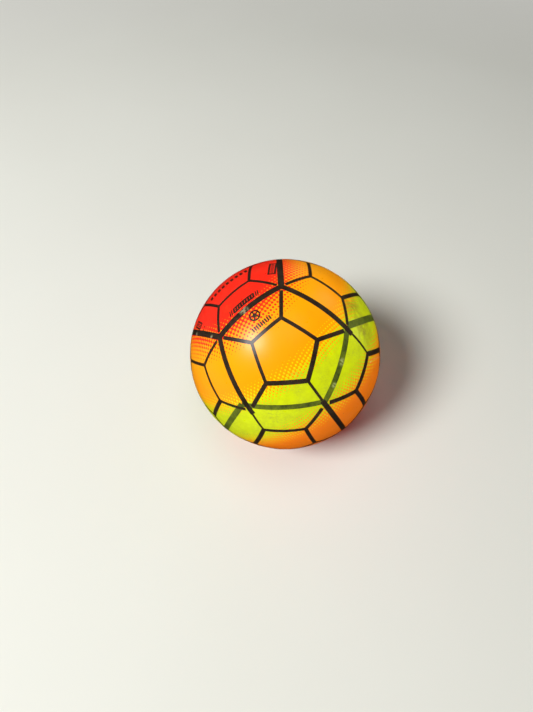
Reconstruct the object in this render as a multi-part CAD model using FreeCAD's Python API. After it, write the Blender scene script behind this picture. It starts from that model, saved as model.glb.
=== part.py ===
# Inflatable size 5 soccer ball: a seamless moulded vinyl skin with a pentagon line pattern
# printed on it, and a needle valve in the middle of one printed pentagon.
#
# The ball is built about its print axis: the red cap at the upper pole (+Z), the valve at
# the lower pole (-Z). Everything is then turned to the way the ball lies on the ground,
# with the origin at its centre.
import FreeCAD, Part
import math
import os

from FreeCAD import Placement, Rotation, Vector

# Skin
ball_radius = 110.0
skin_thickness = 2.2

# Printed lines
ink_thickness = 0.15
meridian_width = 5.8
pentagon_width = 6.4
belt_line_width = 6.4
thin_line_width = 3.3
spoke_gap = 5.2
meridian_overrun = 5.0
long_overrun = 6.5

# Print layout: the faces and corners of a regular dodecahedron, in degrees from the print
# axis, and the small pentagons' corners, in degrees from the middle of their face
cap_corner_angle = math.degrees(math.acos(math.sqrt((5 + 2 * math.sqrt(5)) / 15)))
belt_corner_angle = math.degrees(math.acos(math.sqrt((5 - 2 * math.sqrt(5)) / 15)))
ring_face_angle = math.degrees(math.atan(2))
inner_corner_angle = 18.3

# Valve housing
neck_radius = 8.0
flange_radius = 14.0
flange_thickness = 2.0
sleeve_radius = 6.5
sleeve_end = 90.0

# Valve core
head_radius = 4.6
head_thickness = 1.5
stem_radius = 3.4
bulb_radius = 4.8
bulb_length = 5.0
needle_radius = 0.9
needle_depth = 14.0
funnel_radius = 1.8
funnel_depth = 1.0

# How the ball lies, degrees: turned on the print axis, tipped over, then faced round
lie_roll = 151.9
lie_tilt = 44.6
lie_heading = 145.7

# The print is not perfectly regular. Corners are named by ring (n, u, l, s from north to
# south, the valve being the south pole) and number, faces by ring and number.

# Widths of lines that are bolder or finer than the rest: of the belt's line that starts at
# this corner, of whole small pentagons, of their single sides (from this corner to the
# next) and of single spokes
belt_width = {
    "u0": 7.4,
    "u4": 5.6,
}
figure_width = {
    "upper 0": 3.8,
    "upper 1": 3.7,
    "lower 0": 5.0,
    "lower 4": 4.2,
}
side_width = {
    ("upper 0", "u0"): 4.8,
    ("upper 0", "l0"): 4.8,
    ("upper 0", "u4"): 3.4,
    ("upper 1", "u0"): 3.4,
    ("upper 1", "l1"): 4.8,
    ("upper 4", "u4"): 4.8,
    ("lower 0", "u0"): 5.6,
    ("lower 0", "l0"): 5.6,
    ("lower 4", "l4"): 4.8,
}
spoke_width = {
    ("upper 0", "u0"): 4.4,
    ("upper 0", "l0"): 2.8,
    ("upper 0", "u4"): 4.4,
    ("lower 0", "u0"): 2.4,
    ("lower 4", "u4"): 2.4,
}

# Drifts, millimetres east and south: of the black lines' corners from their regular
# places, of the belt's corners from the black lines' corners, and of the small pentagons'
# corners from the straight way between the middle of the face and its corner
corner_drift = {
    "n0": (-0.5, 0.5),
    "n3": (0, 3.5),
    "n4": (-1, 1),
    "u0": (-1, 1),
    "u4": (1, 2),
    "l0": (-1.5, -3),
    "s0": (-2, 0),
}
belt_drift = {
    "u0": (3, -2.5),
    "u4": (-5, -9),
    "l0": (2, -2.5),
    "l1": (0, -2),
    "l4": (-9, -6),
}
inner_drift = {
    ("north", "n0"): (-1, -1),
    ("north", "n3"): (0.5, 2),
    ("north", "n4"): (-1, 1.5),
    ("upper 0", "n0"): (-2, -0.5),
    ("upper 0", "n4"): (2, 0),
    ("upper 0", "u0"): (-1, -1),
    ("upper 0", "u4"): (-0.5, 0),
    ("upper 0", "l0"): (0.5, 0.5),
    ("upper 1", "n0"): (0, -0.5),
    ("upper 1", "u0"): (-3, -2),
    ("upper 4", "n3"): (0, 1.5),
    ("upper 4", "n4"): (-1, 2),
    ("upper 4", "u4"): (2, 1),
    ("upper 4", "l4"): (5, 0.5),
    ("lower 0", "u0"): (2.5, 2),
    ("lower 0", "l0"): (0, -1),
    ("lower 0", "l1"): (0, 3),
    ("lower 0", "s0"): (1.5, 0),
    ("lower 4", "u4"): (-3, -6.5),
    ("lower 4", "l0"): (0, -4),
    ("lower 4", "l4"): (-7, -1.5),
    ("lower 4", "s0"): (-3.5, -5),
}


def direction(polar, azimuth):
    """Unit vector at these angles, in degrees, about the print axis."""
    p = math.radians(polar)
    a = math.radians(azimuth)
    return Vector(math.sin(p) * math.cos(a), math.sin(p) * math.sin(a), math.cos(p))


def drifted(place, drift):
    """A direction moved over the surface by (east, south) millimetres."""
    east = Vector(-place.y, place.x, 0).normalize()
    south = east.cross(place)
    moved = place * ball_radius + east * drift[0] + south * drift[1]
    return moved.normalize()


def pattern_corners():
    """The twenty corners of the black line pattern, by name."""
    corners = {}
    for k in range(5):
        corners["n%d" % k] = direction(cap_corner_angle, 72 * k + 36)
        corners["u%d" % k] = direction(belt_corner_angle, 72 * k + 36)
        corners["l%d" % k] = direction(180 - belt_corner_angle, 72 * k)
        corners["s%d" % k] = direction(180 - cap_corner_angle, 72 * k)
    return {name: drifted(corners[name], corner_drift.get(name, (0, 0))) for name in corners}


def pattern_faces():
    """The twelve pentagons: the middle of each and its corner names in order round it."""
    faces = {
        "north": (direction(0, 0), ["n%d" % k for k in range(5)]),
        "south": (direction(180, 0), ["s%d" % k for k in range(5)]),
    }
    for k in range(5):
        before = (k - 1) % 5
        after = (k + 1) % 5
        faces["upper %d" % k] = (
            direction(ring_face_angle, 72 * k),
            ["n%d" % before, "n%d" % k, "u%d" % k, "l%d" % k, "u%d" % before],
        )
        faces["lower %d" % k] = (
            direction(180 - ring_face_angle, 72 * k + 36),
            ["u%d" % k, "l%d" % after, "s%d" % after, "s%d" % k, "l%d" % k],
        )
    return faces


def toward(start, end, millimetres):
    """The direction reached from start by going this far over the surface toward end."""
    step = (end - start * start.dot(end)).normalize()
    angle = millimetres / ball_radius
    return start * math.cos(angle) + step * math.sin(angle)


def stroke(start, end, width):
    """Block that marks a printed line of this width between two directions."""
    chord = (end - start) * ball_radius
    middle = (start + end) * (ball_radius / 2)
    depth = ball_radius - middle.Length + 3
    block = Part.makeBox(chord.Length, width, depth, Vector(-chord.Length / 2, -width / 2, -1))
    up = Vector(middle).normalize()
    side = up.cross(chord)
    block.Placement = Placement(middle, Rotation(chord, side, up, "ZXY"))
    return block


def inked(strokes):
    """The ink film that a set of strokes leaves on the skin."""
    marks = strokes[0].multiFuse(strokes[1:])
    outside = Part.makeSphere(ball_radius + ink_thickness)
    film = outside.cut(Part.makeSphere(ball_radius))
    return film.common(marks).removeSplitter()


def cap_line_print(corners):
    """Black lines of both caps: a pentagon round each pole and five meridians from it."""
    caps = []
    for pole, belt in (("n", "u"), ("s", "l")):
        strokes = []
        for k in range(5):
            corner = corners["%s%d" % (pole, k)]
            next_corner = corners["%s%d" % (pole, (k + 1) % 5)]
            overrun = long_overrun if (pole, k) == ("n", 0) else meridian_overrun
            belt_end = toward(corners["%s%d" % (belt, k)], corner, -overrun)
            strokes.append(stroke(corner, next_corner, pentagon_width))
            strokes.append(stroke(corner, belt_end, meridian_width))
        caps.append(inked(strokes))
    return Part.makeCompound(caps)


def belt_line_print(corners, black_lines):
    """Dark green zigzag round the belt, printed first and so hidden under the black lines."""
    belt = {name: drifted(corners[name], belt_drift.get(name, (0, 0))) for name in corners}
    strokes = []
    for k in range(5):
        after = (k + 1) % 5
        width = belt_width.get("u%d" % k, belt_line_width)
        strokes.append(stroke(belt["l%d" % k], belt["u%d" % k], belt_line_width))
        strokes.append(stroke(belt["u%d" % k], belt["l%d" % after], width))
    return inked(strokes).cut(black_lines)


def face_figure(name, middle, corner_names, corners):
    """Small pentagon inside one face, with a spoke toward each corner of the face."""
    width = figure_width.get(name, thin_line_width)
    inner_distance = math.radians(inner_corner_angle) * ball_radius
    inner = []
    for corner in corner_names:
        place = toward(middle, corners[corner], inner_distance)
        inner.append(drifted(place, inner_drift.get((name, corner), (0, 0))))
    strokes = []
    for i, corner in enumerate(corner_names):
        spoke_end = toward(corners[corner], inner[i], spoke_gap)
        side = side_width.get((name, corner), width)
        spoke = spoke_width.get((name, corner), width)
        strokes.append(stroke(inner[i], inner[(i + 1) % 5], side))
        strokes.append(stroke(inner[i], spoke_end, spoke))
    return inked(strokes)


def thin_line_print(corners, cap_lines):
    """The small black pentagons and spokes of all twelve faces."""
    figures = []
    for name, (middle, corner_names) in pattern_faces().items():
        figure = face_figure(name, middle, corner_names, corners)
        figures.append(figure.cut(cap_lines.Solids))
    return Part.makeCompound(figures)


def turned(profile):
    """Solid of revolution about Z from (radius, height) points."""
    points = [Vector(radius, 0, height) for radius, height in profile]
    face = Part.Face(Part.makePolygon(points + points[:1]))
    return face.revolve(Vector(0, 0, 0), Vector(0, 0, 1), 360)


def facing_down(shape):
    """Turn a valve part, built pointing up, to point out of the lower pole."""
    return shape.rotated(Vector(0, 0, 0), Vector(1, 0, 0), 180)


def ball_shell():
    """Hollow skin with the round hole the valve housing is bonded into."""
    skin = Part.makeSphere(ball_radius)
    skin = skin.cut(Part.makeSphere(ball_radius - skin_thickness))
    hole = Part.makeCylinder(neck_radius, ball_radius + 1, Vector(0, 0, 0), Vector(0, 0, -1))
    return skin.cut(hole)


def valve_housing():
    """Soft insert: a neck flush with the skin, a flange bonded inside it and a sleeve."""
    inside_radius = ball_radius - skin_thickness
    neck = Part.makeCylinder(neck_radius, ball_radius, Vector(0, 0, inside_radius - 1.5))
    neck = neck.common(Part.makeSphere(ball_radius))
    flange_base = inside_radius - flange_thickness
    flange = Part.makeCylinder(flange_radius, 10, Vector(0, 0, flange_base - 1))
    flange = flange.common(Part.makeSphere(inside_radius))
    sleeve = turned([
        (0, flange_base),
        (sleeve_radius + 1.5, flange_base),
        (sleeve_radius, flange_base - 3),
        (sleeve_radius, sleeve_end + 1),
        (sleeve_radius - 1, sleeve_end),
        (0, sleeve_end),
    ])
    body = neck.fuse([flange, sleeve])
    seat = Part.makeCylinder(head_radius, 20, Vector(0, 0, ball_radius - head_thickness))
    bore = Part.makeCylinder(stem_radius, 40, Vector(0, 0, sleeve_end - 1))
    return facing_down(body.cut(seat.fuse(bore)))


def valve_core():
    """Rubber bung: a flush head, a stem, a bulb that holds it in, and a needle channel."""
    seat = ball_radius - head_thickness
    bung = turned([
        (0, ball_radius + 1),
        (head_radius, ball_radius + 1),
        (head_radius, seat),
        (stem_radius, seat),
        (stem_radius, sleeve_end),
        (bulb_radius, sleeve_end),
        (bulb_radius, sleeve_end - 1.5),
        (stem_radius, sleeve_end - bulb_length),
        (0, sleeve_end - bulb_length),
    ])
    bung = bung.common(Part.makeSphere(ball_radius))
    funnel = turned([
        (0, ball_radius + 0.5),
        (funnel_radius, ball_radius + 0.5),
        (funnel_radius, ball_radius),
        (needle_radius, ball_radius - funnel_depth),
        (0, ball_radius - funnel_depth),
    ])
    channel_end = ball_radius - funnel_depth - needle_depth
    channel = Part.makeCylinder(needle_radius, needle_depth + 0.5, Vector(0, 0, channel_end))
    return facing_down(bung.cut(funnel.fuse(channel)))


def lying(shape):
    """Turn a shape from the print axis to the way the ball lies."""
    roll = Rotation(Vector(0, 0, 1), lie_roll)
    tilt = Rotation(Vector(0, 1, 0), lie_tilt)
    heading = Rotation(Vector(0, 0, 1), lie_heading)
    shape.Placement = Placement(Vector(0, 0, 0), heading * tilt * roll) * shape.Placement
    return shape


def main():
    corners = pattern_corners()
    cap_lines = cap_line_print(corners)
    thin_lines = thin_line_print(corners, cap_lines)
    belt_lines = belt_line_print(corners, cap_lines.Solids + thin_lines.Solids)
    nodes = {
        "ball_shell": ball_shell(),
        "valve_housing": valve_housing(),
        "valve_core": valve_core(),
        "cap_line_print": cap_lines,
        "belt_line_print": belt_lines,
        "thin_line_print": thin_lines,
    }
    os.makedirs("parts", exist_ok=True)
    for name, shape in nodes.items():
        lying(shape).exportStep("parts/%s.step" % name)


main()
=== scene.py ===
import math

import bpy
from mathutils import Matrix, Vector


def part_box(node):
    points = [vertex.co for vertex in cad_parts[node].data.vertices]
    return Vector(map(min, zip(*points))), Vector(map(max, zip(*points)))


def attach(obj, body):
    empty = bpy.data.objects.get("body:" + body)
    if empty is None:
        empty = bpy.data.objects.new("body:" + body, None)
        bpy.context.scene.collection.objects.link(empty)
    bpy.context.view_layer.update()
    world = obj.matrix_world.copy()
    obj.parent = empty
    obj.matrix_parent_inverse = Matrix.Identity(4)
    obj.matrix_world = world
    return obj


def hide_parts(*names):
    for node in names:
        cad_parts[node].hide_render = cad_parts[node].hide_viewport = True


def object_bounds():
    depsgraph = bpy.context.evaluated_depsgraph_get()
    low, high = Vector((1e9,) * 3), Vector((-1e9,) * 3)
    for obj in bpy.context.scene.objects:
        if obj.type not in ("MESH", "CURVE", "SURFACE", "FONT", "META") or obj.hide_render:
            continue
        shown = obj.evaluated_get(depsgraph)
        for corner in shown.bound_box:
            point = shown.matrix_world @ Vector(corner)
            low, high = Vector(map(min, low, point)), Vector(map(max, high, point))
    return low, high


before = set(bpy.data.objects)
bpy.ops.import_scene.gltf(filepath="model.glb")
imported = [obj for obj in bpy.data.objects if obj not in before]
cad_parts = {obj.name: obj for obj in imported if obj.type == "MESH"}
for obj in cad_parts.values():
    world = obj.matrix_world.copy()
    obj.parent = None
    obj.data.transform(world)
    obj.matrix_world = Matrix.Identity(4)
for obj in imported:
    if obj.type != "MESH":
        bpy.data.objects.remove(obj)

# A seamless vinyl soccer ball with a printed pentagon pattern, lying on a pale floor.
# Metres, in the frame of the CAD model: the origin is the ball's centre and +Z is up.

cad_low, cad_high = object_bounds()
mm = 0.001

# Ball. The print axis runs from the valve (south) to the middle of the red cap (north).
# A place on the ball is a polar angle from the north pole and an azimuth about the axis.
ball_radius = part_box("ball_shell")[1].y
lie_roll, lie_tilt, lie_heading = 151.9, 44.6, 145.7
lie = (
    Matrix.Rotation(math.radians(lie_heading), 3, "Z")
    @ Matrix.Rotation(math.radians(lie_tilt), 3, "Y")
    @ Matrix.Rotation(math.radians(lie_roll), 3, "Z")
)
skin_rows, skin_columns = 180, 360

# Socket for the valve, with a rounded lip
socket_radius = 8.0 * mm
socket_depth = 3.0 * mm
lip_radius = 0.35 * mm
lip_steps, wall_steps, floor_rings = 6, 3, 3

# Gloss of the skin and the ink, and relief of these two and of the valve and the floor
print_specular = 0.28
skin_roughness = (0.27, 0.34)
ink_roughness = (0.28, 0.36)
print_relief = 0.04 * mm
plain_relief = 0.05 * mm

# Skin colours
orange_by_cap = (0.95, 0.37, 0.002, 1)
orange_by_belt = (0.95, 0.29, 0.001, 1)
orange_past_belt = (0.95, 0.20, 0.002, 1)
cap_red = (0.95, 0.024, 0.010, 1)
belt_lime = (0.60, 0.70, 0.003, 1)
dull_lime = (0.50, 0.56, 0.006, 1)
scuffed_lime = (0.30, 0.34, 0.05, 1)
sparse_lime = (0.92, 0.58, 0.002, 1)
# Olive for the painted shade at two places on the belt, and for light dirt
olive_shade_and_dirt = (0.25, 0.20, 0.015, 1)
brown_speck = (0.16, 0.07, 0.02, 1)
pale_scratch = (0.85, 0.72, 0.42, 1)

# Polar angles where the skin's colours change. The belt's are: no lime yet, all lime,
# still all lime, no lime left. The cap's are mirrored at the south pole. The first change
# wanders to and fro by a few degrees.
warming = (45, 80)
warming_wander = 2.0
deepening = (96, 114)
cap_fade = (28, 51)
belt_edges = (66, 82, 94, 113)

# Halftone screen, printed by one flat plate on each half of the ball
dot_pitch = 4.05 * mm
screen_angle = 21.0
screen_shifts = (1.28, 0.74)
dot_softness = 0.035
overprint = 0.02

# Wear and painted shade: worn lines and the patches of painted shade have a radius, scratches have
# two ends
worn_places = (
    (32, -5, 6 * mm),
    (34, -78, 3 * mm),
    (36, -47, 2.5 * mm),
    (88, 20, 5 * mm),
    (94, 9, 3.5 * mm),
    (38, 120, 6 * mm),
)
# Two patches of painted shade on the belt, each with its radius
painted_shade_places = (
    (77, 52, 16 * mm),
    (89, 46, 20 * mm),
)
scratch_ends = (
    ((103, 29), (106, 40)),
    ((106, 40), (119, 59)),
    ((99, 33), (110, 55)),
    ((70, 150), (78, 171)),
    ((96, -120), (108, -101)),
)
scratch_width = 0.5 * mm

# How strongly each kind of wear, and the painted shade, covers the colour under it, from 0 to 1
scuff_strength = 0.7
painted_shade_strength = 0.9
light_dirt_strength = 0.22
speck_strength = 0.8
scratch_strength = 0.55
flake_strength = 0.6

# Small printed marks reach this far above the skin and as far below it. Their bars lean
# this much for each millimetre of height. The limit keeps a sharp corner from growing long.
mark_height = 0.1 * mm
mark_lean = 0.35
mitre_limit = 0.3

# Floor, and where it begins and ends turning into the backdrop, metres from the ball
floor_side = 8.0
near_floor = 0.95
far_floor = 2.0
dim_paper = (0.775, 0.775, 0.705, 1)
bright_paper = (0.805, 0.81, 0.74, 1)
backdrop_colour = (0.70, 0.69, 0.66, 1)

# Camera: its lens for a sensor as long as the picture is high, both in millimetres, and
# how the ball stands in front of it, in ball radii
camera_elevation = 60.0
sensor_length = 36.0
lens_length = 24.17
ball_right, ball_down, ball_ahead = 0.192, -0.0193, 5.13


def linear(red, green, blue):
    """A linear colour from 0 to 255 screen values."""
    def one(value):
        value = value / 255
        return value / 12.92 if value <= 0.04045 else ((value + 0.055) / 1.055) ** 2.4
    return (one(red), one(green), one(blue), 1.0)


def print_direction(polar, azimuth):
    """Unit vector, in the model's frame, at these degrees about the print axis."""
    p, a = math.radians(polar), math.radians(azimuth)
    return lie @ Vector((math.sin(p) * math.cos(a), math.sin(p) * math.sin(a), math.cos(p)))


class Graph:
    """Short calls for building one material's nodes."""

    def __init__(self, name):
        self.material = bpy.data.materials.new(name)
        self.material.use_nodes = True
        self.tree = self.material.node_tree
        self.shader = self.tree.nodes["Principled BSDF"]
        self.place = self.node("TexCoord").outputs["Object"]

    def put(self, socket, value):
        """Link a socket into this one, or set it to a plain value."""
        if isinstance(value, bpy.types.NodeSocket):
            self.tree.links.new(value, socket)
        else:
            socket.default_value = value

    def node(self, kind, inputs=(), **settings):
        """New node, with its inputs given by name or by number."""
        made = self.tree.nodes.new("ShaderNode" + kind)
        for key, value in settings.items():
            setattr(made, key, value)
        for key, value in dict(inputs).items():
            self.put(made.inputs[key], value)
        return made

    def shade(self, inputs):
        """Set inputs of the material's shader."""
        for key, value in inputs.items():
            self.put(self.shader.inputs[key], value)

    def math(self, operation, *values):
        return self.node("Math", dict(enumerate(values)), operation=operation).outputs[0]

    def product(self, first, *others):
        total = first
        for other in others:
            total = self.math("MULTIPLY", total, other)
        return total

    def dot(self, vector, direction):
        made = self.node("VectorMath", {0: vector, 1: direction}, operation="DOT_PRODUCT")
        return made.outputs["Value"]

    def steps(self, value, low, high, to_low=0.0, to_high=1.0):
        """Straight ramp from to_low at low to to_high at high, level beyond."""
        ends = {"From Min": low, "From Max": high, "To Min": to_low, "To Max": to_high}
        return self.node("MapRange", {"Value": value, **ends}).outputs["Result"]

    def mix(self, factor, low, high):
        return self.node("Mix", {0: factor, 6: low, 7: high}, data_type="RGBA").outputs[2]

    def moved(self, offset, stretch=(1, 1, 1)):
        """Places shifted and stretched, so that one texture doesn't repeat another."""
        inputs = {"Vector": self.place, "Scale": stretch, "Location": (offset,) * 3}
        return self.node("Mapping", inputs).outputs[0]

    def noise(self, size, detail=3.0, roughness=0.5, stretch=(1, 1, 1), offset=0.0):
        """Noise with features about this size, in metres."""
        inputs = {"Vector": self.moved(offset, stretch), "Scale": 1 / size}
        inputs.update({"Detail": detail, "Roughness": roughness})
        return self.node("TexNoise", inputs).outputs["Fac"]

    def cells(self, size, offset):
        """Distance to scattered points about this far apart, in units of that spacing."""
        inputs = {"Vector": self.moved(offset), "Scale": 1 / size}
        return self.node("TexVoronoi", inputs).outputs["Distance"]

    def near(self, polar, azimuth, radius):
        """1 at a place on the ball, falling to 0 this far from it."""
        there = tuple(print_direction(polar, azimuth) * ball_radius)
        apart = self.node("VectorMath", {0: self.place, 1: there}, operation="DISTANCE")
        return self.steps(apart.outputs["Value"], 0.0, radius, 1.0, 0.0)

    def scratch(self, start, end, width):
        """1 along a fine line between two (polar, azimuth) places, broken up by noise."""
        start = print_direction(*start)
        end = print_direction(*end)
        middle = (start + end).normalized()
        across = tuple(start.cross(end).normalized())
        reach = middle.dot(start) * ball_radius
        aside = self.math("ABSOLUTE", self.dot(self.place, across))
        line = self.steps(aside, width * 0.3, width, 1.0, 0.0)
        inside = self.steps(self.dot(self.place, tuple(middle)), reach, reach + 0.4 * mm)
        broken = self.steps(self.noise(3 * mm, offset=9.0), 0.42, 0.55)
        return self.product(line, inside, broken)

    def bump(self, height, distance):
        made = self.node("Bump", {"Height": height, "Distance": distance})
        self.shade({"Normal": made.outputs[0]})


def print_angles(g):
    """Sockets for where a point is in the print: its parts forward, east and north, and
    its polar angle in degrees."""
    unit = g.node("VectorMath", {0: g.place}, operation="NORMALIZE").outputs[0]
    forward, east, north = [g.dot(unit, tuple(lie.col[k])) for k in range(3)]
    polar = g.product(g.math("ARCCOSINE", north), 180 / math.pi)
    return forward, east, north, polar


def screen_height(g, forward, east, north):
    """The halftone screen: 1 at each dot's middle, 0 between four dots."""
    from_pole = g.math("ARCCOSINE", g.math("ABSOLUTE", north))
    across = g.math("SQRT", g.math("SUBTRACT", 1.0, g.product(north, north)))
    phase = g.product(from_pole, ball_radius / dot_pitch * 2 * math.pi)
    spread = g.math("DIVIDE", phase, across)
    along = g.product(forward, spread)
    aside = g.product(east, g.math("SIGN", north), spread)
    c, s = math.cos(math.radians(screen_angle)), math.sin(math.radians(screen_angle))
    waves = []
    for k, m, shift in zip((c, -s), (s, c), screen_shifts):
        turned = g.math("ADD", g.product(along, k), g.product(aside, m))
        waves.append(g.math("COSINE", g.math("ADD", turned, shift)))
    return g.math("MULTIPLY_ADD", g.math("ADD", *waves), 0.25, 0.5)


def printed(g, screen, cover):
    """Mask of a halftone whose ink covers this share of the surface."""
    edge = g.math("SUBTRACT", g.math("ADD", screen, cover), 1.0)
    return g.steps(edge, -dot_softness, dot_softness)


def cap_cover(g, polar):
    """Share of red ink: a little over 1 in the middle of both caps, so that no dots show,
    and a little under 0 outside them."""
    start, end = cap_fade
    north_cap = g.steps(polar, start, end, 1 + overprint, -overprint)
    south_cap = g.steps(polar, 180 - end, 180 - start, -overprint, 1 + overprint)
    return g.math("MAXIMUM", north_cap, south_cap)


def belt_cover(g, polar):
    """Share of lime ink, a little over 1 in the belt and a little under 0 outside it."""
    start, full, leaving, gone = belt_edges
    rising = g.steps(polar, start, full)
    falling = g.steps(polar, leaving, gone, 1.0, 0.0)
    share = g.math("MINIMUM", rising, falling)
    return g.math("MULTIPLY_ADD", share, 1 + 2 * overprint, -overprint)


def vinyl_skin():
    """Skin of the ball: orange with lime and red halftones, dirt, painted shade at two places on the
    belt, specks and scratches.
    """
    g = Graph("vinyl_skin")
    forward, east, north, polar = print_angles(g)
    screen = screen_height(g, forward, east, north)
    cloud = g.noise(60 * mm, detail=4.0)
    grime = g.noise(9 * mm, detail=6.0, roughness=0.65, offset=3.0)
    grain = g.noise(1.2 * mm, detail=2.0, offset=7.0)

    wander = g.math("MULTIPLY_ADD", cloud, 2 * warming_wander, -warming_wander)
    warm = g.steps(g.math("ADD", polar, wander), *warming)
    base = g.mix(warm, orange_by_cap, orange_by_belt)
    base = g.mix(g.steps(polar, *deepening), base, orange_past_belt)

    belt = belt_cover(g, polar)
    lime = g.mix(g.steps(grime, 0.35, 0.75), belt_lime, dull_lime)
    lime = g.mix(scuffs(g), lime, scuffed_lime)
    lime = g.mix(g.steps(belt, 0.1, 0.7), sparse_lime, lime)
    colour = g.mix(printed(g, screen, belt), base, lime)
    colour = g.mix(printed(g, screen, cap_cover(g, polar)), colour, cap_red)
    # Painted shade at two places on the belt, and light dirt in patches
    colour = g.mix(shade_and_dirt(g, grime), colour, olive_shade_and_dirt)
    colour = g.mix(specks(g), colour, brown_speck)
    scratched = scratches(g)
    colour = g.mix(g.product(scratched, scratch_strength), colour, pale_scratch)

    roughness = g.steps(grime, 0.3, 0.8, *skin_roughness)
    g.shade({"Base Color": colour, "Roughness": roughness, "Specular IOR Level": print_specular})
    height = g.math("ADD", g.product(grime, 0.5), g.product(grain, 0.12))
    g.bump(g.math("SUBTRACT", height, g.product(scratched, 0.6)), print_relief)
    return g.material


def scuffs(g):
    """Dull rubbed patches in the lime, with fine streaks in them."""
    patch = g.steps(g.noise(22 * mm, detail=4.0, roughness=0.6, offset=4.0), 0.44, 0.66)
    fine = g.noise(2.2 * mm, detail=4.0, roughness=0.7, stretch=(1, 4, 1), offset=6.0)
    return g.product(patch, g.steps(fine, 0.48, 0.66), scuff_strength)


def shade_and_dirt(g, grime):
    """Painted shade in olive at two places on the belt, broken up by the grime noise, and light dirt
    in patches elsewhere.
    """
    shaded_spots = g.math("ADD", *[g.near(*place) for place in painted_shade_places])
    painted_shade = g.product(shaded_spots, g.steps(grime, 0.36, 0.58), painted_shade_strength)
    patches = g.noise(14 * mm, detail=6.0, roughness=0.7, offset=12.0)
    light_dirt = g.product(g.steps(patches, 0.56, 0.78), light_dirt_strength)
    return g.math("MAXIMUM", painted_shade, light_dirt)


def specks(g):
    """Small dark specks, only here and there."""
    dot = g.steps(g.cells(5.5 * mm, offset=1.0), 0.045, 0.085, 1.0, 0.0)
    some = g.steps(g.noise(11 * mm, detail=2.0, offset=8.0), 0.5, 0.58)
    return g.product(dot, some, speck_strength)


def scratches(g):
    """Fine scratches on the belt and beside it."""
    total = 0.0
    for start, end in scratch_ends:
        total = g.math("MAXIMUM", total, g.scratch(start, end, scratch_width))
    return total


def ink(name, dark, light, speck):
    """Printed ink: mottled between two colours, with fine specks where it has come away and
    cracks at the worn places."""
    g = Graph(name)
    mottle = g.noise(9 * mm, detail=6.0, roughness=0.7)
    colour = g.mix(g.steps(mottle, 0.35, 0.7), dark, light)
    flaking = g.noise(0.9 * mm, roughness=0.7, offset=5.0)
    lost = g.product(g.steps(flaking, 0.66, 0.72), flake_strength)
    cracking = g.steps(g.noise(2.2 * mm, detail=4.0, roughness=0.7, offset=11.0), 0.45, 0.53)
    for place in worn_places:
        crackle = g.product(cracking, g.near(*place), 1.6)
        lost = g.math("MAXIMUM", lost, g.math("MINIMUM", crackle, 1.0))
    colour = g.mix(lost, colour, speck)
    roughness = g.steps(mottle, 0.3, 0.7, *ink_roughness)
    g.shade({"Base Color": colour, "Roughness": roughness, "Specular IOR Level": print_specular})
    g.bump(g.math("SUBTRACT", mottle, lost), print_relief)
    return g.material


def black_ink():
    """Warm black, pale grey where it has come away."""
    return ink("black_ink", linear(34, 25, 18), linear(56, 44, 34), linear(150, 140, 110))


def green_ink():
    """Dark green that lets the lime show through, paler where it has come away."""
    dark = (0.04, 0.056, 0.01, 1)
    light = (0.155, 0.195, 0.012, 1)
    speck = (0.34, 0.38, 0.12, 1)
    return ink("dark_green_ink", dark, light, speck)


def valve_material(name, dark, light):
    """Matt, faintly mottled vinyl or rubber."""
    g = Graph(name)
    mottle = g.noise(2 * mm, detail=5.0, roughness=0.6)
    colour = g.mix(g.steps(mottle, 0.3, 0.7), dark, light)
    g.shade({"Base Color": colour, "Roughness": g.steps(mottle, 0.3, 0.7, 0.5, 0.7)})
    g.bump(g.noise(0.6 * mm, offset=2.0), plain_relief)
    return g.material


def meridian_profile():
    """(distance from the print axis, height) points from the north pole round to the middle
    of the valve socket's floor."""
    hole_angle = math.asin((socket_radius + lip_radius) / ball_radius)
    edge = -ball_radius * math.cos(hole_angle)
    points = []
    for i in range(skin_rows + 1):
        angle = (math.pi - hole_angle) * i / skin_rows
        points.append((ball_radius * math.sin(angle), ball_radius * math.cos(angle)))
    for i in range(1, lip_steps + 1):
        turn = math.pi / 2 * i / lip_steps
        reach = socket_radius + lip_radius * (1 - math.sin(turn))
        points.append((reach, edge + lip_radius * (1 - math.cos(turn))))
    for i in range(1, wall_steps + 1):
        rise = lip_radius + (socket_depth - lip_radius) * i / wall_steps
        points.append((socket_radius, edge + rise))
    for i in reversed(range(floor_rings)):
        points.append((socket_radius * i / floor_rings, edge + socket_depth))
    return points


def spun(name, profile, columns):
    """Closed mesh made by turning a profile, from axis to axis, round the print axis."""
    vertices = [Vector((0, 0, profile[0][1]))]
    faces = []
    for reach, height in profile[1:-1]:
        for j in range(columns):
            turn = 2 * math.pi * j / columns
            vertices.append(Vector((reach * math.cos(turn), reach * math.sin(turn), height)))
    vertices.append(Vector((0, 0, profile[-1][1])))
    rings = len(profile) - 2
    last = len(vertices) - 1
    for j in range(columns):
        after = (j + 1) % columns
        faces.append((0, 1 + j, 1 + after))
        faces.append((last, last - columns + after, last - columns + j))
        for i in range(rings - 1):
            here = 1 + i * columns
            below = here + columns
            faces.append((here + j, below + j, below + after, here + after))
    mesh = bpy.data.meshes.new(name)
    mesh.from_pydata([lie @ v for v in vertices], [], faces)
    mesh.shade_smooth()
    made = bpy.data.objects.new(name, mesh)
    bpy.context.scene.collection.objects.link(made)
    return made


def ball_skin():
    """Outside of the shell as a fine mesh, with the valve's socket in it."""
    skin = spun("ball_skin", meridian_profile(), skin_columns)
    skin.data.materials.append(vinyl_skin())
    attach(skin, "root")
    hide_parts("ball_shell")


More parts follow.
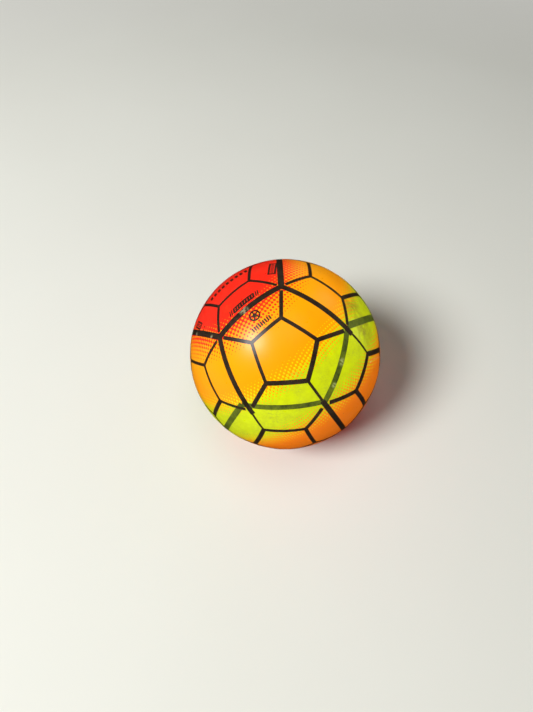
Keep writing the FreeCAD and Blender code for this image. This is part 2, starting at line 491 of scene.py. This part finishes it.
class Marks:
    """One printed mark of several strokes, drawn flat in millimetres (east, north) and laid
    on the ball at a place of the print."""

    def __init__(self, name, polar, azimuth):
        self.name = name
        self.out = print_direction(polar, azimuth)
        self.east = print_direction(90, azimuth + 90)
        self.north = self.out.cross(self.east)
        self.vertices = []
        self.faces = []

    def stroke(self, points, width, closed=False):
        """Closed strip of ink along a line of points."""
        line = [Vector(point) for point in points]
        count = len(line)
        first = len(self.vertices)
        for i, here in enumerate(line):
            before = line[i - 1] if closed or i else 2 * here - line[1]
            after = line[(i + 1) % count] if closed or i < count - 1 else 2 * here - line[i - 1]
            coming = (here - before).normalized()
            going = (after - here).normalized()
            along = (coming + going).normalized()
            half = width / 2 / max(along.dot(going), mitre_limit)
            aside = Vector((-along.y, along.x)) * half
            for side, height in ((1, 1), (-1, 1), (-1, -1), (1, -1)):
                flat = here + aside * side
                spot = self.out * (ball_radius / mm) + self.east * flat.x + self.north * flat.y
                self.vertices.append(spot.normalized() * (ball_radius + height * mark_height))
        for i in range(count if closed else count - 1):
            here = first + 4 * i
            there = first + 4 * ((i + 1) % count)
            for k in range(4):
                m = (k + 1) % 4
                self.faces.append((here + k, here + m, there + m, there + k))
        if not closed:
            last = first + 4 * (count - 1)
            self.faces.append((first + 3, first + 2, first + 1, first))
            self.faces.append((last, last + 1, last + 2, last + 3))

    def box(self, length, height, width):
        """Outlined rectangle about the middle, its long sides in short runs to follow the ball."""
        x = length / 2
        y = height / 2
        runs = 6
        steps = [x * (2 * k / runs - 1) for k in range(runs + 1)]
        outline = [(step, -y) for step in steps] + [(-step, y) for step in steps]
        self.stroke(outline, width, closed=True)

    def bar(self, x, height, width, lean=mark_lean):
        """One bar, leaning or upright."""
        y = height / 2
        self.stroke([(x - lean * y, -y), (x, 0), (x + lean * y, y)], width)

    def bars(self, count, pitch, height, width, lean=mark_lean):
        """Row of equal bars about the middle."""
        for k in range(count):
            self.bar(pitch * (k - (count - 1) / 2), height, width, lean)

    def circle(self, radius, width, sides=28):
        """Ring, or a regular outline with few sides, one corner to the north."""
        turns = [2 * math.pi * k / sides + math.pi / 2 for k in range(sides)]
        self.stroke([(radius * math.cos(t), radius * math.sin(t)) for t in turns], width, closed=True)

    def finish(self, material):
        """Make the mark's mesh."""
        mesh = bpy.data.meshes.new(self.name)
        mesh.from_pydata(self.vertices, [], self.faces)
        mesh.materials.append(material)
        made = bpy.data.objects.new(self.name, mesh)
        bpy.context.scene.collection.objects.link(made)
        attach(made, "root")


def striped_band(material):
    """Dark band with leaning gaps and two slashes at each end, beside one side of the cap."""
    mark = Marks("striped_band_mark", 27.3, -0.5)
    for y in (-2.5, 2.5):
        mark.stroke([(2.1 * k + mark_lean * y, y) for k in range(-6, 7)], width=1.5)
    mark.bars(9, pitch=3.1, height=5.4, width=2.2)
    for x in (-17.8, -15.5, 15.5, 17.8):
        mark.bar(x, height=6.2, width=1.2)
    mark.finish(material)


def ring_emblem(material):
    """Ring round a small pentagon with five spokes."""
    mark = Marks("ring_emblem_mark", 38.4, 0.0)
    spoke_start, spoke_end = 2.4, 4.8
    mark.circle(radius=5.2, width=1.5)
    mark.circle(radius=1.5, width=2.2, sides=5)
    for k in range(5):
        turn = math.radians(90 + 72 * k)
        c, s = math.cos(turn), math.sin(turn)
        ends = [(reach * c, reach * s) for reach in (spoke_start, spoke_end)]
        mark.stroke(ends, width=1.3)
    mark.finish(material)


def bar_row(material):
    """Row of short upright bars under the emblem."""
    mark = Marks("bar_row_mark", 44.5, 0.0)
    mark.bars(9, pitch=2.6, height=4.6, width=1.5, lean=0.0)
    mark.finish(material)


def long_box(material):
    """Outlined box with bars in it, beside one side of the cap."""
    mark = Marks("long_box_mark", 27.8, 66.0)
    mark.box(length=26.0, height=6.8, width=2.0)
    mark.bars(9, pitch=2.5, height=3.2, width=1.1)
    mark.finish(material)


def short_box(material):
    """Outlined box with bars in it and two small squares beside it."""
    mark = Marks("short_box_mark", 28.9, -80.0)
    mark.box(length=15.0, height=6.4, width=1.7)
    mark.bars(5, pitch=2.4, height=3.4, width=1.1)
    for y in (-2.0, 1.8):
        mark.stroke([(17.0, y - 0.8), (17.0, y + 0.8)], width=1.8)
    mark.finish(material)


def dash_row(material):
    """Row of plain blocks across the middle of the red cap."""
    mark = Marks("dash_row_mark", 0.8, 0.0)
    pitch, half_length = 6.0, 1.7
    for k in range(-4, 5):
        middle = pitch * k
        mark.stroke([(middle - half_length, 0), (middle + half_length, 0)], width=7.0)
    mark.finish(material)


def repaint(node, material):
    """Give a piece of the frame this material alone."""
    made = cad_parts[node]
    made.data.materials.clear()
    made.data.materials.append(material)


def floor():
    """Pale paper that turns into the backdrop far from the ball, so that no edge shows."""
    g = Graph("floor_paper")
    soft = g.noise(0.25)
    fibre = g.noise(2 * mm, detail=4.0, roughness=0.6, offset=2.0)
    paper = g.mix(soft, dim_paper, bright_paper)
    apart = g.node("VectorMath", {0: g.place}, operation="LENGTH").outputs["Value"]
    far = g.steps(apart, near_floor, far_floor)
    g.shade({
        "Base Color": g.mix(far, paper, (0, 0, 0, 1)),
        "Roughness": g.steps(soft, 0.3, 0.7, 0.85, 0.95),
        "Specular IOR Level": 0.2,
        "Emission Color": backdrop_colour,
        "Emission Strength": far,
    })
    g.bump(fibre, plain_relief)
    bpy.ops.mesh.primitive_plane_add(size=floor_side, location=(0, 0, cad_low.z))
    made = bpy.context.object
    made.name = "floor"
    made.visible_glossy = False
    made.data.materials.append(g.material)


def light(name, direction, distance, radius, power, reflected=False):
    """Round soft light at this distance from the ball, facing it, that the camera never
    sees and that reflections show only on request."""
    data = bpy.data.lights.new(name, "AREA")
    data.shape = "DISK"
    data.size = 2 * radius
    data.energy = power
    made = bpy.data.objects.new(name, data)
    toward = Vector(direction).normalized()
    made.location = toward * distance
    made.rotation_euler = (-toward).to_track_quat("-Z", "Y").to_euler()
    made.visible_camera = False
    made.visible_glossy = reflected
    bpy.context.scene.collection.objects.link(made)
    return made


def lights():
    """A soft key light, a weak light from above, fills that light the ball but not the floor,
    and a glint that lights nothing and is the one light seen reflected."""
    key_distance, fill_distance = 3.2, 2.5
    light("key", (-0.56, -0.33, 0.76), key_distance, radius=0.65, power=118)
    light("top", (0.05, 0.0, 1.0), fill_distance, radius=0.7, power=11)
    glint_direction = (-0.59, -0.18, 0.79)
    glint = light("glint", glint_direction, key_distance, radius=0.6, power=88, reflected=True)
    glint.visible_diffuse = False
    fills = [
        light("right_fill", (0.93, 0.28, 0.14), fill_distance, radius=0.4, power=24),
        light("high_fill", (0.6, 0.6, 0.53), fill_distance, radius=0.5, power=17),
        light("front_fill", (0.35, -0.93, 0.14), fill_distance, radius=0.4, power=17),
        light("back_fill", (0.15, 0.98, 0.14), fill_distance, radius=0.4, power=9),
    ]
    spared = bpy.data.collections.new("spared_by_fills")
    spared.objects.link(bpy.data.objects["floor"])
    spared.collection_objects[0].light_linking.link_state = "EXCLUDE"
    for fill in fills:
        fill.light_linking.receiver_collection = spared


def backdrop():
    """Pale backdrop that gives no light."""
    world = bpy.data.worlds.new("backdrop")
    bpy.context.scene.world = world
    world.use_nodes = True
    world.node_tree.nodes["Background"].inputs["Color"].default_value = backdrop_colour
    world.cycles_visibility.diffuse = False
    world.cycles_visibility.glossy = False


def camera():
    """Camera in front of the ball and above it, looking down at its elevation."""
    data = bpy.data.cameras.new("camera")
    data.sensor_width = sensor_length
    data.lens = lens_length
    made = bpy.data.objects.new("camera", data)
    e = math.radians(camera_elevation)
    right = Vector((1, 0, 0))
    down = Vector((0, -math.sin(e), -math.cos(e)))
    ahead = Vector((0, math.cos(e), -math.sin(e)))
    made.location = -(right * ball_right + down * ball_down + ahead * ball_ahead) * ball_radius
    made.rotation_mode = "QUATERNION"
    made.rotation_quaternion = ahead.to_track_quat("-Z", "Y")
    bpy.context.scene.collection.objects.link(made)
    bpy.context.scene.camera = made


ball_skin()

black = black_ink()
repaint("cap_line_print", black)
repaint("thin_line_print", black)
striped_band(black)
ring_emblem(black)
bar_row(black)
long_box(black)
short_box(black)
dash_row(black)
repaint("belt_line_print", green_ink())

orange_vinyl = valve_material("soft_vinyl", (0.80, 0.20, 0.01, 1), (0.86, 0.26, 0.02, 1))
black_rubber = valve_material("black_rubber", (0.012, 0.012, 0.012, 1), (0.03, 0.03, 0.03, 1))
repaint("valve_housing", orange_vinyl)
repaint("valve_core", black_rubber)

floor()
lights()
backdrop()
camera()
bpy.context.scene.view_settings.view_transform = "Standard"
